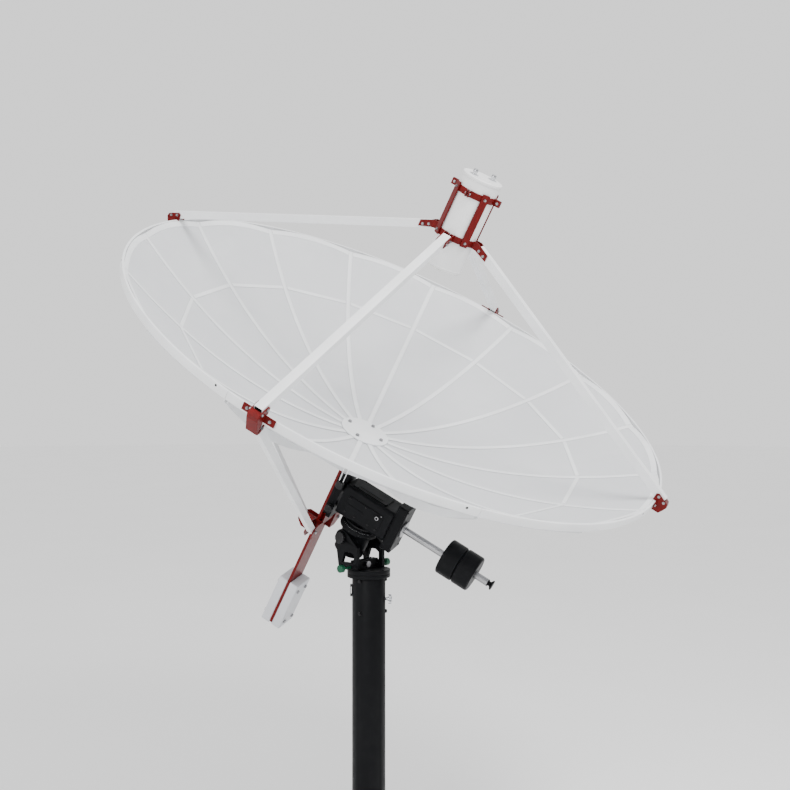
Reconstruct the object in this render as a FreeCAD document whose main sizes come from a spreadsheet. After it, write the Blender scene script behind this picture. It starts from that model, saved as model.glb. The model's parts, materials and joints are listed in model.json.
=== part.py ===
import FreeCAD, Part
import math
import os

import Sketcher
from FreeCAD import Placement, Rotation, Vector

# A 2.3 m radio-telescope dish on a German equatorial mount and a floor pier.
# Millimetres. Origin: centre of the pier's base on the floor, +Z up, +Y north.

doc = FreeCAD.newDocument("satellite_dish")
sheet = doc.addObject("Spreadsheet::Sheet", "Sheet")

SIZES = {
    # where the axes stand
    "head_height": 1490,        # crossing of the polar and declination axes, above the floor
    "latitude": 57.5,           # degrees, tilt of the polar axis above the horizon
    "hour_turn": 22.1,          # degrees, turn of the head about the polar axis
    "dish_offset": 155,         # dish axis to polar axis, along the declination axis
    "dish_ahead": 280,          # declination axis to the dish's vertex
    # pier
    "pier_radius": 70, "pier_wall": 6, "base_radius": 210, "base_thickness": 16,
    "anchor_circle": 180, "anchor_hole": 9, "gusset_rise": 180, "gusset_thickness": 8,
    "flange_radius": 90.5, "flange_thickness": 15.5, "flange_drop": 291, "spigot_radius": 30,
    "hand_knob_side": 132.4,    # degrees, the side of the pier that the hand knob stands on
    "hand_knob_drop": 385, "hand_stem_radius": 6, "clip_drop": 348,
    # azimuth base and altitude pivot
    "disc_thickness": 17, "turn_gap": 0.5, "cheek_gap": 68, "cheek_thickness": 15,
    "boss_radius": 36, "pivot_drop": 150, "pin_radius": 12, "fit_gap": 0.05,
    "knob_radius": 16, "knob_length": 22, "screw_radius": 5,
    "azimuth_screw_north": -27, "azimuth_screw_drop": 246, "altitude_screw_radius": 7,
    "altitude_screw_drop": 239, "block_height": 38, "block_depth": 30,
    # polar axis unit
    "drum_radius": 85, "drum_top": 78, "drum_bottom": 108, "neck_radius": 65, "neck_bottom": 225,
    "axle_radius": 30, "wheel_radius": 56, "wheel_thickness": 12, "joint_radius": 76,
    # declination axis unit
    "head_half": 70, "head_front": 108, "head_back": 128, "head_corner": 18,
    "dec_axle_radius": 28, "turntable_radius": 68, "turntable_thickness": 12,
    "motor_half_width": 55, "motor_half_length": 107, "motor_depth": 46,
    # counterweights
    "rod_radius": 15, "rod_length": 459, "weight_radius": 77, "weight_length": 75,
    "weight_start": 378, "weight_round": 9, "stop_radius": 21, "stop_length": 24,
    "lock_radius": 36, "lock_thickness": 9,
    # saddle, dovetail and spine
    "saddle_half_width": 66, "saddle_length": 220,
    "dovetail_length": 330, "dovetail_thickness": 16, "dovetail_wide": 50, "dovetail_narrow": 38,
    "spine_half_width": 60, "spine_thickness": 12, "spine_shift": 8, "spine_end": 1000,
    "tail_half_width": 60, "tail_thickness": 42, "tail_length": 235,
    "clevis_above": 33, "clevis_below": 42, "clevis_past_bolt": 20, "plate": 5,
    # reflector
    "focal_length": 846.5, "dish_radius": 1150, "petal_count": 16, "petal_start": 98,
    "petal_split": 868, "petal_end": 1139, "sheet_thickness": 2.5, "seam_gap": 1.5,
    "rib_turn": 16, "rib_width": 16, "rib_wall": 2, "rib_inner_depth": 46, "rib_outer_depth": 24,
    "cap_width": 20, "cap_thickness": 3, "cap_lift": 1.5, "bar_width": 16, "edge_band": 20,
    "rim_top": 401, "rim_height": 30, "rim_lip": 9, "rim_wall": 3, "rim_count": 8,
    "hub_radius": 104, "hub_thickness": 6, "hub_lift": 5.4, "hub_bolt_circle": 78,
    "drum_depth": 58, "hub_flange_radius": 120,
    # feed and its cage
    "feed_radius": 78, "feed_bottom": 783.4, "feed_top": 1163, "feed_wall": 2,
    "cap_height": 13, "ring_gap": 0.4, "ring_wall": 4, "ring_height": 25,
    "connector_offset": 43, "connector_side": 140,
    "lower_ring": 920, "upper_ring": 1100, "cage_bar_width": 30, "cage_bar_length": 216,
    # struts and braces
    "strut_size": 32, "brace_size": 28, "tube_wall": 2,
    "strut_outer_reach": 1160, "strut_outer_rise": 418,
    "strut_inner_reach": 119, "strut_inner_rise": 910,
    "brace_outer_reach": 1139, "brace_outer_rise": 351,
    "brace_inner_reach": 112, "side_brace_inner_reach": 84, "brace_slope": 0.7877,
}


class Size:
    """A length from the sheet: its value, and the expression that gives it."""

    def __init__(self, value, text):
        self.value = float(value)
        self.text = text

    def __float__(self):
        return self.value

    def __add__(self, other):
        other = size(other)
        return Size(self.value + other.value, f"({self.text} + {other.text})")

    def __sub__(self, other):
        other = size(other)
        return Size(self.value - other.value, f"({self.text} - {other.text})")

    def __mul__(self, other):
        other = size(other)
        return Size(self.value * other.value, f"({self.text} * {other.text})")

    def __truediv__(self, other):
        other = size(other)
        return Size(self.value / other.value, f"({self.text} / {other.text})")

    def __neg__(self):
        return Size(-self.value, f"(0 - {self.text})")

    __radd__ = __add__


def size(value):
    return value if isinstance(value, Size) else Size(value, f"({value})")


for row, (alias, number) in enumerate(SIZES.items(), start=1):
    sheet.set(f"A{row}", alias)
    sheet.set(f"B{row}", str(number))
    sheet.setAlias(f"B{row}", alias)
doc.recompute()
D = {alias: Size(number, f"Sheet.{alias}") for alias, number in SIZES.items()}


def mm(alias):
    """The sheet's own number, for shapes that are worked out in code."""
    return float(sheet.get(alias))


# ---------------------------------------------------------------- frames

def frame(origin, x_axis, z_axis):
    y_axis = z_axis.cross(x_axis)
    return Placement(origin, Rotation(x_axis, y_axis, z_axis, "ZXY"))


def shift(x, y, z):
    return Placement(Vector(float(x), float(y), float(z)), Rotation())


def turn(axis, degrees):
    return Placement(Vector(), Rotation(axis, degrees))


X, Y, Z = Vector(1, 0, 0), Vector(0, 1, 0), Vector(0, 0, 1)
TILT = math.radians(mm("latitude"))
FLOOR = Placement()
CROSSING = shift(0, 0, mm("head_height"))                          # where the two axes meet
POLAR = frame(CROSSING.Base, X, Vector(0, math.cos(TILT), math.sin(TILT)))
HEAD = POLAR.multiply(turn(Z, mm("hour_turn")))                     # Y along the declination axis
DEC = HEAD.multiply(turn(X, -90))                                   # Z along the declination axis
DISH = HEAD.multiply(shift(0, -mm("dish_offset"), mm("dish_ahead")))  # Z along the dish's axis
SPINE = DISH.multiply(shift(0, -mm("spine_shift"), 0))


def spoke(azimuth, base=DISH):
    """A frame turned about the dish's axis, with X pointing out at this azimuth."""
    return base.multiply(turn(Z, azimuth))


# ---------------------------------------------------------------- building blocks

NODES = []


def keep(thing, label, place=None):
    """Name the sub-part, put it in its place and list it for export."""
    thing.Label = label
    if place is not None:
        thing.Placement = place
    NODES.append(thing)
    return thing


def bind(thing, prop, length):
    thing.setExpression(prop, size(length).text)


def new_body(name):
    body = doc.addObject("PartDesign::Body", name)
    body.AllowCompound = True
    return body


def origin_part(body, role):
    return next(part for part in body.Origin.OriginFeatures if part.Role == role)


def fix_point(sketch, geometry, point, x, y):
    for kind, length in (("DistanceX", size(x)), ("DistanceY", size(y))):
        index = sketch.addConstraint(Sketcher.Constraint(kind, -1, 1, geometry, point, length.value))
        sketch.setExpression(f"Constraints[{index}]", length.text)


def add_sketch(body, plane, outlines=(), circles=(), lift=0):
    """A sketch on an origin plane: closed outlines of points, and circles (x, y, radius)."""
    sketch = body.newObject("Sketcher::SketchObject", f"{body.Name}_sketch")
    sketch.AttachmentSupport = (origin_part(body, plane), [""])
    sketch.MapMode = "FlatFace"
    sketch.AttachmentOffset = shift(0, 0, lift)
    for outline in outlines:
        first = sketch.GeometryCount
        corners = [Vector(float(x), float(y), 0) for x, y in outline]
        for start, end in zip(corners, corners[1:] + corners[:1]):
            sketch.addGeometry(Part.LineSegment(start, end))
        count = len(corners)
        for side in range(count):
            following = first + (side + 1) % count
            sketch.addConstraint(Sketcher.Constraint("Coincident", first + side, 2, following, 1))
        for side, (x, y) in enumerate(outline):
            fix_point(sketch, first + side, 1, x, y)
    for x, y, radius in circles:
        radius = size(radius)
        circle = Part.Circle(Vector(float(x), float(y), 0), Z, radius.value)
        index = sketch.addGeometry(circle)
        fix_point(sketch, index, 3, x, y)
        ring = sketch.addConstraint(Sketcher.Constraint("Radius", index, radius.value))
        sketch.setExpression(f"Constraints[{ring}]", radius.text)
    return sketch


def add_pad(body, sketch, length, both_ways=False, backwards=False):
    pad = body.newObject("PartDesign::Pad", f"{body.Name}_pad")
    pad.Profile = sketch
    bind(pad, "Length", length)
    pad.Midplane = both_ways
    pad.Reversed = backwards
    return pad


def add_pocket(body, sketch, length, both_ways=False, backwards=False):
    pocket = body.newObject("PartDesign::Pocket", f"{body.Name}_pocket")
    pocket.Profile = sketch
    bind(pocket, "Length", length)
    pocket.Midplane = both_ways
    pocket.Reversed = backwards
    return pocket


def add_pattern(body, features, count):
    pattern = body.newObject("PartDesign::PolarPattern", f"{body.Name}_pattern")
    pattern.Originals = features
    pattern.Axis = (origin_part(body, "Z_Axis"), [""])
    pattern.Angle = 360
    if isinstance(count, Size):
        bind(pattern, "Occurrences", count)
    else:
        pattern.Occurrences = count
    body.Tip = pattern
    return pattern


def add_turning(body, outline, degrees=360):
    """Turn an outline of (radius, height) points about the body's Z axis."""
    sketch = add_sketch(body, "XZ_Plane", [outline])
    turning = body.newObject("PartDesign::Revolution", f"{body.Name}_turning")
    turning.Profile = sketch
    turning.ReferenceAxis = (sketch, ["V_Axis"])
    turning.Angle = degrees
    return turning


def add_cross_hole(body, radius, length, place):
    hole = body.newObject("PartDesign::SubtractiveCylinder", f"{body.Name}_hole")
    bind(hole, "Radius", radius)
    bind(hole, "Height", length)
    hole.AttachmentOffset = place
    hole.Placement = place
    return hole


def round_edges(body, radius, chosen):
    """Fillet the edges of the body's last shape that the test picks."""
    doc.recompute()
    names = [f"Edge{number}" for number, edge in enumerate(body.Tip.Shape.Edges, 1) if chosen(edge)]
    fillet = body.newObject("PartDesign::Fillet", f"{body.Name}_fillet")
    fillet.Base = (body.Group[-2], names)
    bind(fillet, "Radius", radius)
    return fillet


def bevel_edges(body, depth):
    """Chamfer every edge of the body's last shape."""
    doc.recompute()
    names = [f"Edge{number}" for number in range(1, len(body.Tip.Shape.Edges) + 1)]
    chamfer = body.newObject("PartDesign::Chamfer", f"{body.Name}_chamfer")
    chamfer.Base = (body.Group[-2], names)
    bind(chamfer, "Size", depth)
    return chamfer


def turned(label, outline, place):
    body = new_body(label)
    add_turning(body, outline)
    return keep(body, label, place)


def ring_outline(inner, outer, low, high):
    return [(inner, low), (outer, low), (outer, high), (inner, high)]


def box_outline(x_low, x_high, y_low, y_high):
    return [(x_low, y_low), (x_high, y_low), (x_high, y_high), (x_low, y_high)]


def shape_part(label, shape, place):
    """A sub-part whose shape is made with Part's own functions."""
    feature = doc.addObject("Part::Feature", label)
    feature.Shape = shape
    return keep(feature, label, place)


def placed(shape, place):
    copy = shape.copy()
    copy.Placement = place.multiply(copy.Placement)
    return copy


def around(shape, angles):
    return Part.makeCompound([placed(shape, turn(Z, angle)) for angle in angles])


def prism(points, depth):
    """A solid from (x, z) points in the XZ plane, half its depth each way along Y."""
    corners = [Vector(float(x), -depth / 2, float(z)) for x, z in points]
    return Part.Face(Part.makePolygon(corners + corners[:1])).extrude(Vector(0, depth, 0))


def block(x_low, x_high, y_low, y_high, z_low, z_high):
    corner = Vector(x_low, y_low, z_low)
    return Part.makeBox(x_high - x_low, y_high - y_low, z_high - z_low, corner)


def hex_head(across, height, washer_radius, washer_height=1.6):
    """A hexagon head on its washer, standing on the XY plane."""
    reach = across / math.sqrt(3)
    corners = [Vector(reach * math.cos(math.radians(60 * k)),
                      reach * math.sin(math.radians(60 * k)), washer_height) for k in range(7)]
    head = Part.Face(Part.makePolygon(corners)).extrude(Vector(0, 0, height))
    return Part.makeCylinder(washer_radius, washer_height).fuse(head).removeSplitter()


QUARTERS = (0, 90, 180, 270)
Z_UP_Y = frame(Vector(), X, Y)              # local Z along Y
Z_DOWN_Y = frame(Vector(), X, -Y)           # local Z against Y
Z_ALONG_X = frame(Vector(), Y, X)           # local Z along X
Z_AGAINST_X = frame(Vector(), Y, -X)        # local Z against X


# ---------------------------------------------------------------- pier

def make_pier():
    """Base plate, welded column, top flange with its spigot, and their fasteners."""
    top = D["head_height"] - D["flange_drop"]

    plate = new_body("base_plate")
    circle = mm("anchor_circle")
    holes = [(circle * math.cos(math.radians(45 + angle)),
              circle * math.sin(math.radians(45 + angle)), D["anchor_hole"]) for angle in QUARTERS]
    outline = add_sketch(plate, "XY_Plane", circles=[(0, 0, D["base_radius"])] + holes)
    add_pad(plate, outline, D["base_thickness"])
    keep(plate, "base_plate", FLOOR)

    column = new_body("pier_column")
    inner = D["pier_radius"] - D["pier_wall"]
    foot = D["base_thickness"]
    add_turning(column, ring_outline(inner, D["pier_radius"], foot, top))
    tall = foot + D["gusset_rise"]
    reach = D["base_radius"] - 25
    root = D["pier_radius"] - 2
    gusset = add_sketch(column, "XZ_Plane", [[(root, foot), (reach, foot), (reach, foot + 20),
                                              (root + 20, tall), (root, tall)]])
    wing = add_pad(column, gusset, D["gusset_thickness"], both_ways=True)
    add_pattern(column, [wing], 4)
    knob_spot = turn(Z, mm("hand_knob_side")).multiply(
        shift(0, 0, mm("head_height") - mm("hand_knob_drop"))).multiply(Z_ALONG_X)
    stem_hole = knob_spot.multiply(shift(0, 0, 40))
    add_cross_hole(column, D["hand_stem_radius"] + D["fit_gap"], 40, stem_hole)
    keep(column, "pier_column", FLOOR)

    flange = new_body("pier_flange")
    skirt = inner - 0.3
    low = top - 160
    add_turning(flange, [(D["spigot_radius"] + D["fit_gap"], top),
                         (skirt - 8, top), (skirt - 8, low), (skirt, low), (skirt, top),
                         (D["flange_radius"], top),
                         (D["flange_radius"], top + D["flange_thickness"]),
                         (D["spigot_radius"] + D["fit_gap"], top + D["flange_thickness"])])
    add_cross_hole(flange, D["hand_stem_radius"] + D["fit_gap"], 40, stem_hole)
    keep(flange, "pier_flange", FLOOR)

    bolt = hex_head(13, 5.5, 9)
    pieces = []
    for side in (0, 120, 240):
        for drop in (302, 436):
            spot = turn(Z, mm("hand_knob_side") + side).multiply(
                shift(mm("pier_radius"), 0, mm("head_height") - drop))
            pieces.append(placed(bolt, spot.multiply(Z_ALONG_X)))
    clip = block(70.1, 78, -9, 9, -25, 25).cut(block(72, 76, -10, 10, -15, 15))
    clip_spot = turn(Z, mm("hand_knob_side") + 180).multiply(
        shift(0, 0, mm("head_height") - mm("clip_drop")))
    pieces.append(placed(clip, clip_spot))
    shape_part("pier_fittings", Part.makeCompound(pieces), FLOOR)
    make_lobed_knob("pier_hand_knob", knob_spot)


def make_lobed_knob(label, place):
    """A three-lobed clamping knob on a stem; Z is its axis, zero on the pier's axis."""
    knob = new_body(label)
    stem = add_sketch(knob, "XY_Plane", circles=[(0, 0, D["hand_stem_radius"])], lift=52)
    add_pad(knob, stem, 32)
    hub = add_sketch(knob, "XY_Plane", circles=[(0, 0, 11)], lift=80)
    add_pad(knob, hub, 18)
    lobe = add_sketch(knob, "XY_Plane", circles=[(14, 0, 8)], lift=83)
    arm = add_pad(knob, lobe, 12)
    add_pattern(knob, [arm], 3)
    keep(knob, label, place)


# ---------------------------------------------------------------- azimuth base

def tangent_point(point, centre, radius, side):
    """Where the tangent from a point touches a circle, on one side (+1 or -1)."""
    gap_x, gap_y = centre[0] - point[0], centre[1] - point[1]
    distance = math.hypot(gap_x, gap_y)
    heading = math.atan2(gap_y, gap_x) + side * math.asin(radius / distance)
    normal = heading + side * math.pi / 2
    return centre[0] + radius * math.cos(normal), centre[1] + radius * math.sin(normal)


def make_azimuth_base():
    """The disc that turns on the pier, its two cheeks, and the adjusting screws."""
    bottom = -D["flange_drop"] + D["flange_thickness"] + D["turn_gap"]
    top = bottom + D["disc_thickness"]
    turned("azimuth_disc", [(0, bottom - 34), (D["spigot_radius"], bottom - 34),
                            (D["spigot_radius"], bottom), (D["flange_radius"], bottom),
                            (D["flange_radius"], top), (0, top)], CROSSING)

    pivot = (-mm("pivot_drop") * math.cos(TILT), -mm("pivot_drop") * math.sin(TILT))
    floor = float(top)
    front = (14, floor + 95)
    rear = (-95, floor)
    front_touch = tangent_point(front, pivot, mm("boss_radius"), -1)
    rear_touch = tangent_point(rear, pivot, mm("boss_radius"), 1)
    across = (D["cheek_gap"] + D["cheek_thickness"]) * 2
    cheeks = new_body("side_cheeks")
    wall = add_sketch(cheeks, "YZ_Plane", [[rear, (14, floor), front, front_touch, rear_touch]])
    add_pad(cheeks, wall, across, both_ways=True)
    boss = add_sketch(cheeks, "YZ_Plane", circles=[(*pivot, D["boss_radius"])])
    add_pad(cheeks, boss, across, both_ways=True)
    bay = add_sketch(cheeks, "YZ_Plane", [box_outline(-200, 100, floor - 1, 0)])
    add_pocket(cheeks, bay, D["cheek_gap"] * 2, both_ways=True)
    window = add_sketch(cheeks, "YZ_Plane", [[
        (-76, floor + 30), (-8, floor + 30), (-8, floor + 62), (-28, floor + 74),
        (-60, floor + 74)]])
    add_pocket(cheeks, window, across + 2, both_ways=True)
    bores = add_sketch(cheeks, "YZ_Plane", circles=[
        (*pivot, D["pin_radius"] + D["fit_gap"]),
        (D["azimuth_screw_north"], -D["azimuth_screw_drop"], D["screw_radius"] + D["fit_gap"])])
    add_pocket(cheeks, bores, across + 2, both_ways=True)
    keep(cheeks, "side_cheeks", CROSSING)

    bar = new_body("altitude_block")
    section = add_sketch(
        bar, "XZ_Plane",
        [box_outline(-D["cheek_gap"], D["cheek_gap"], floor, D["block_height"] + floor)],
        [(0, -D["altitude_screw_drop"], D["altitude_screw_radius"] + D["fit_gap"])], lift=10)
    add_pad(bar, section, D["block_depth"])
    keep(bar, "altitude_block", CROSSING)

    tip = -46
    head_start = -9.5
    screw = new_body("altitude_screw")
    shank = add_sketch(screw, "XY_Plane", circles=[(0, 0, D["altitude_screw_radius"])], lift=tip)
    add_pad(screw, shank, head_start - tip)
    head = [(14 * math.cos(math.radians(60 * k)), 14 * math.sin(math.radians(60 * k)))
            for k in range(6)]
    cap = add_sketch(screw, "XY_Plane", [head], lift=head_start)
    add_pad(screw, cap, 10)
    nose = shift(0, 0, mm("head_height") - mm("altitude_screw_drop"))
    keep(screw, "altitude_screw", nose.multiply(Z_UP_Y))

    screw_spot = shift(0, mm("azimuth_screw_north"), mm("head_height") - mm("azimuth_screw_drop"))
    hub = shift(0, pivot[0], mm("head_height") + pivot[1])
    for name, facing in (("east", Z_ALONG_X), ("west", Z_AGAINST_X)):
        make_fluted_knob(f"azimuth_knob_{name}", screw_spot.multiply(facing), D["screw_radius"],
                         start=70, shoulder=126, radius=D["knob_radius"], length=D["knob_length"])
        make_fluted_knob(f"altitude_knob_{name}", hub.multiply(facing), D["pin_radius"],
                         start=42, shoulder=84, radius=26, length=13)


def make_fluted_knob(label, place, stem, start, shoulder, radius, length):
    """A knob with twelve flutes on a round stem; Z is its axis."""
    knob = new_body(label)
    radius = size(radius)
    length = size(length)
    end = length + shoulder
    add_turning(knob, [(0, start), (stem, start), (stem, shoulder), (radius - 2, shoulder),
                       (radius, shoulder + 2), (radius, end - 2), (radius - 3, end), (0, end)])
    flute = add_sketch(knob, "XY_Plane", circles=[(radius + 1, 0, radius / 8)], lift=shoulder)
    groove = add_pocket(knob, flute, length, backwards=True)
    add_pattern(knob, [groove], 12)
    keep(knob, label, place)


# ---------------------------------------------------------------- polar axis unit

def make_polar_unit():
    """Housing and lid on the altitude pivot; axle and worm wheel turn inside them."""
    cavity_floor = D["drum_bottom"] + 14
    lid_joint = D["drum_top"] + 14
    bore = D["axle_radius"] + D["fit_gap"]
    housing = new_body("polar_housing")
    add_turning(housing, [
        (0, -D["neck_bottom"]), (D["neck_radius"] - 4, -D["neck_bottom"]),
        (D["neck_radius"], -D["neck_bottom"] + 4), (D["neck_radius"], -D["drum_bottom"]),
        (D["drum_radius"], -D["drum_bottom"]), (D["drum_radius"], -lid_joint),
        (D["wheel_radius"] + 3, -lid_joint), (D["wheel_radius"] + 3, -cavity_floor),
        (bore, -cavity_floor), (bore, -D["neck_bottom"] + 20), (0, -D["neck_bottom"] + 20)])
    for facing in (Z_ALONG_X, Z_AGAINST_X):
        pocket = shift(0, 0, -mm("pivot_drop")).multiply(facing).multiply(shift(0, 0, 40))
        add_cross_hole(housing, D["pin_radius"] + D["fit_gap"], 40, pocket)
    keep(housing, "polar_housing", POLAR)

    turned("polar_lid", [
        (bore, -lid_joint), (D["drum_radius"], -lid_joint), (D["drum_radius"], -D["drum_top"] - 9),
        (D["drum_radius"] - 3, -D["drum_top"] - 9), (D["drum_radius"] - 3, -D["drum_top"] - 6),
        (D["drum_radius"], -D["drum_top"] - 6), (D["drum_radius"], -D["drum_top"]),
        (bore, -D["drum_top"])], POLAR)

    joint = -D["drum_top"] + D["turn_gap"]
    turned("polar_axle", [
        (0, -D["neck_bottom"] + 24), (D["axle_radius"], -D["neck_bottom"] + 24),
        (D["axle_radius"], joint), (D["joint_radius"], joint), (D["joint_radius"], -D["head_half"]),
        (0, -D["head_half"])], HEAD)

    middle = -D["drum_bottom"] + 4
    turned("polar_worm_wheel", ring_outline(D["axle_radius"] + 0.1, D["wheel_radius"],
                                            middle - D["wheel_thickness"] / 2,
                                            middle + D["wheel_thickness"] / 2), HEAD)


# ---------------------------------------------------------------- declination axis unit

def rounded_box(body, width, height, corner, low, high, circles=()):
    """A box about Z with rounded long edges and optional round holes through it."""
    section = add_sketch(body, "XY_Plane", [box_outline(-width, width, -height, height)],
                         circles, lift=low)
    add_pad(body, section, high - low)
    round_edges(body, corner, lambda edge: is_upright(edge))


def is_upright(edge):
    line = edge.Vertexes[0].Point - edge.Vertexes[-1].Point
    return isinstance(edge.Curve, Part.Line) and abs(line.x) < 1e-6 and abs(line.y) < 1e-6


def make_declination_unit():
    """Housing on the polar axle, motor box, rod and weights; axle and turntable for the saddle."""
    housing = new_body("declination_housing")
    rounded_box(housing, D["head_half"], D["head_half"], D["head_corner"],
                -mm("head_front"), mm("head_back"))
    bore = D["dec_axle_radius"] + D["fit_gap"]
    hollow = body_groove(housing, [
        (0, -D["head_front"]), (bore, -D["head_front"]), (bore, -D["head_front"] + 20),
        (D["wheel_radius"] + 3, -D["head_front"] + 20), (D["wheel_radius"] + 3, -D["head_front"] + 44),
        (bore, -D["head_front"] + 44), (bore, D["head_back"] - 26), (0, D["head_back"] - 26)])
    housing.Tip = hollow
    keep(housing, "declination_housing", DEC)

    turntable = -D["head_front"] - D["turn_gap"]
    turned("declination_axle", [
        (0, turntable - D["turntable_thickness"]),
        (D["turntable_radius"], turntable - D["turntable_thickness"]),
        (D["turntable_radius"], turntable), (D["dec_axle_radius"], turntable),
        (D["dec_axle_radius"], D["head_back"] - 30), (0, D["head_back"] - 30)], DEC)
    middle = -D["head_front"] + 32
    turned("declination_worm_wheel", ring_outline(D["dec_axle_radius"] + 0.1, D["wheel_radius"],
                                                  middle - D["wheel_thickness"] / 2,
                                                  middle + D["wheel_thickness"] / 2), DEC)

    motor = new_body("motor_box")
    rounded_box(motor, D["motor_half_width"], D["motor_half_length"], 10, mm("head_back"),
                mm("head_back") + mm("motor_depth"), [(0, 0, D["rod_radius"] + 0.3)])
    keep(motor, "motor_box", DEC)

    rod_start = D["head_back"]
    rod_end = rod_start + D["rod_length"]
    turned("weight_rod", [(0, rod_start), (D["rod_radius"], rod_start), (D["rod_radius"], rod_end),
                          (0, rod_end)], DEC)
    lock_start = rod_start + D["motor_depth"]
    lock_end = lock_start + D["lock_thickness"]
    turned("rod_lock_ring", [
        (D["rod_radius"] + 0.3, lock_start), (D["lock_radius"], lock_start),
        (D["lock_radius"], lock_end - 2), (D["lock_radius"] - 2, lock_end),
        (D["rod_radius"] + 0.3, lock_end)], DEC)
    stop_end = rod_end + D["stop_length"]
    turned("rod_end_stop", [
        (0, rod_end), (D["rod_radius"], rod_end), (D["rod_radius"], rod_end + 3),
        (10, rod_end + 7), (10, rod_end + 12), (D["stop_radius"], stop_end - 5),
        (D["stop_radius"], stop_end - 1), (D["stop_radius"] - 2, stop_end), (0, stop_end)], DEC)

    start = D["weight_start"]
    for name in ("inner", "outer"):
        make_counterweight(f"counterweight_{name}", start)
        start = start + D["weight_length"] + 1


def body_groove(body, outline):
    sketch = add_sketch(body, "XZ_Plane", [outline])
    groove = body.newObject("PartDesign::Groove", f"{body.Name}_groove")
    groove.Profile = sketch
    groove.ReferenceAxis = (sketch, ["V_Axis"])
    groove.Angle = 360
    return groove


def make_counterweight(label, start):
    """A turned weight with rounded rims and a locking screw on its far side."""
    weight = new_body(label)
    end = start + D["weight_length"]
    bore = D["rod_radius"] + D["fit_gap"]
    add_turning(weight, ring_outline(bore, D["weight_radius"], start, end))
    round_edges(weight, D["weight_round"],
                lambda edge: edge.BoundBox.XLength > 1.9 * mm("weight_radius"))
    middle = float(start) + mm("weight_length") / 2
    stem = add_sketch(weight, "YZ_Plane", circles=[(0, middle, 6)],
                      lift=-mm("weight_radius") - 12)
    add_pad(weight, stem, 20)
    head = add_sketch(weight, "YZ_Plane", circles=[(0, middle, 13)],
                      lift=-mm("weight_radius") - 22)
    add_pad(weight, head, 12)
    keep(weight, label, DEC)


# ---------------------------------------------------------------- saddle, spine and tail

def make_saddle():
    """The plate on the turntable, its two jaws, and the knobs that draw them together."""
    face = D["dovetail_thickness"] - D["spine_shift"] + D["spine_thickness"] / 2 - D["dish_offset"]
    low = face + 0.3
    plate = new_body("saddle_plate")
    section = add_sketch(plate, "XY_Plane",
                         [box_outline(-D["saddle_half_width"], D["saddle_half_width"], low,
                                      -D["head_front"] - D["turn_gap"] - D["turntable_thickness"])])
    add_pad(plate, section, D["saddle_length"], both_ways=True)
    keep(plate, "saddle_plate", HEAD)

    jaws = new_body("saddle_jaws")
    slant = (mm("dovetail_wide") - mm("dovetail_narrow")) / mm("dovetail_thickness")
    depth = mm("dovetail_thickness") - 1
    corners = [(D["dovetail_wide"] + 0.8, low), (D["saddle_half_width"], low),
               (D["saddle_half_width"], low - depth),
               (D["dovetail_wide"] + 0.8 - depth * slant, low - depth)]
    for side in (-1, 1):
        section = add_sketch(jaws, "XY_Plane", [[(x * side, y) for x, y in corners]])
        add_pad(jaws, section, D["saddle_length"] - 20, both_ways=True)
    keep(jaws, "saddle_jaws", HEAD)

    for name, rise in (("front", 60), ("rear", -60)):
        spot = HEAD.multiply(shift(0, float(low) + 9, rise)).multiply(Z_ALONG_X)
        make_fluted_knob(f"saddle_knob_{name}", spot, D["screw_radius"], start=66.5, shoulder=76,
                         radius=17, length=20)


def make_spine():
    """The plate behind the hub, its dovetail, brace clevises, angles and tail weights."""
    hub_back = -D["drum_depth"] - 8
    spine = new_body("spine_plate")
    half = D["spine_half_width"]
    end = -D["spine_end"]
    outline = add_sketch(spine, "XZ_Plane", [[
        (-half, hub_back), (-half, end + 12), (-half + 12, end), (half - 12, end),
        (half, end + 12), (half, hub_back)]])
    add_pad(spine, outline, D["spine_thickness"], both_ways=True)
    keep(spine, "spine_plate", SPINE)

    inner = D["spine_thickness"] / 2
    bar = new_body("dovetail_bar")
    outer = inner + D["dovetail_thickness"]
    section = add_sketch(bar, "XY_Plane", [[
        (-D["dovetail_narrow"], inner), (D["dovetail_narrow"], inner),
        (D["dovetail_wide"], outer), (-D["dovetail_wide"], outer)]], lift=-mm("dish_ahead"))
    add_pad(bar, section, D["dovetail_length"], both_ways=True)
    keep(bar, "dovetail_bar", SPINE)

    angles = new_body("hub_angles")
    leg = 45
    for side in (1, -1):
        y = [side * (float(inner) + step) for step in (0, 4, leg)]
        top = float(hub_back)
        section = add_sketch(angles, "YZ_Plane", [[
            (y[0], top), (y[2], top), (y[2], top - 4), (y[1], top - 4),
            (y[1], top - leg), (y[0], top - leg)]])
        add_pad(angles, section, 104, both_ways=True)
    keep(angles, "hub_angles", SPINE)

    tail = new_body("tail_weight")
    section = add_sketch(tail, "XZ_Plane", [box_outline(
        -D["tail_half_width"], D["tail_half_width"], end, end + D["tail_length"])], lift=-48)
    add_pad(tail, section, D["tail_thickness"])
    bevel_edges(tail, 3)
    doc.recompute()
    tail.Visibility = False
    shape_part("tail_weights", around(tail.Shape, (0, 180)), SPINE)

    clevises = [placed(clevis(back, reach), turn(Z, azimuth))
                for azimuth, back, reach in BRACES.values()]
    shape_part("spine_clevises", Part.makeCompound(clevises), DISH)


# each rear brace: its azimuth, how far out the spine's edge or face stands there, and the
# reach of its lower bolt
BRACES = {
    "near": (0, mm("spine_half_width"), D["brace_inner_reach"]),
    "far": (180, mm("spine_half_width"), D["brace_inner_reach"]),
    "side": (270, mm("spine_shift") + mm("spine_thickness") / 2, D["side_brace_inner_reach"]),
}


def brace_rise(reach):
    """Height of a rear brace's centre line at this distance from the dish's axis."""
    return D["brace_outer_rise"] - (D["brace_outer_reach"] - reach) * D["brace_slope"]


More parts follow.
